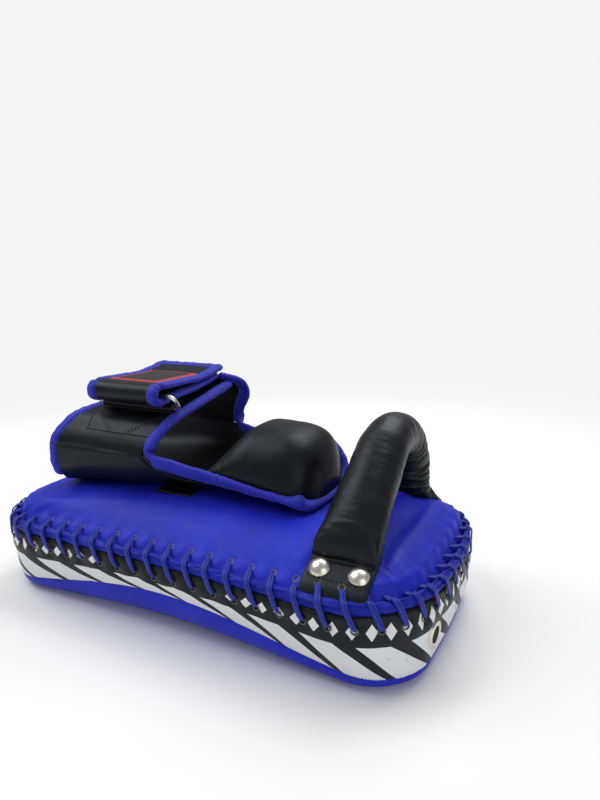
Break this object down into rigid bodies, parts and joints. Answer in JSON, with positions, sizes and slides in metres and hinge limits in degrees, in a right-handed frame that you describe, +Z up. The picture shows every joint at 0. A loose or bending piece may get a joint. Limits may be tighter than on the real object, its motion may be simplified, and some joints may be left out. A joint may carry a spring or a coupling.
{
  "type": "thai pad",
  "caption": "Thick laced leather kick pad with a stuffed arch handle and a strapped forearm cuff on its back, held on one arm to take kicks and punches in training.",
  "frame": {"origin": "centre of the object's box, on the floor that the striking face lies on", "axes": "+X along the pad from the cuff to the handle, +Y across the pad, +Z up from the striking face to the back"},
  "size_m": [0.396, 0.2048, 0.1776],
  "materials": {
    "blue_leather": "satin grained",
    "black_leather": "satin grained",
    "blue_webbing": "woven nylon",
    "hook_and_loop": "matte pile",
    "foam": "closed cell foam, hidden",
    "nickel": "polished nickel plate",
    "backing": "plain, hidden"
  },
  "bodies": {
    "pad": {"face_panel": "blue_leather", "side_band": "black_leather", "back_panel": "blue_leather", "rim_roll": "blue_leather", "rim_lace": "blue_webbing", "foam_face": "foam", "foam_middle": "foam", "foam_back": "foam", "vent_eyelet": "nickel", "vent_washer": "nickel", "handle_foot_near": "black_leather", "handle_foot_far": "black_leather", "handle_collar_near": "black_leather", "handle_collar_far": "black_leather", "handle_rivets": "nickel", "rivet_washers": "nickel", "backing_near": "backing", "backing_far": "backing", "cuff_base": "black_leather", "cuff_base_binding": "blue_webbing", "wrist_pad_cover": "black_leather", "wrist_pad_foam": "foam", "side_tag": "black_leather", "near_wing": "black_leather", "near_wing_binding": "blue_webbing", "far_wing": "black_leather", "far_wing_binding": "blue_webbing", "strap_lower": "black_leather", "strap_lower_binding": "blue_webbing", "loop_patch": "hook_and_loop", "ring_tab": "black_leather"},
    "handle": {"handle_cover": "black_leather", "handle_core": "foam"},
    "ring": {"strap_ring": "nickel"},
    "strap_end": {"strap_flap": "black_leather", "flap_binding": "blue_webbing", "hook_patch": "hook_and_loop", "flap_patch": "hook_and_loop"}
  },
  "joints": [
    {"name": "handle_tilt", "type": "hinge", "parent": "pad", "child": "handle", "pos_m": [0.132, 0, 0.1032], "axis": [0, 1, 0], "range_deg": [-14, 14], "stiffness_Nm_per_rad": 3},
    {"name": "ring_swing", "type": "hinge", "parent": "pad", "child": "ring", "pos_m": [-0.082, -0.01483, 0.14943], "axis": [1, 0, 0], "range_deg": [-10, 0]},
    {"name": "strap_peel", "type": "hinge", "parent": "pad", "child": "strap_end", "pos_m": [-0.082, -0.0277, 0.1715], "axis": [1, 0, 0], "range_deg": [0, 150]}
  ]
}
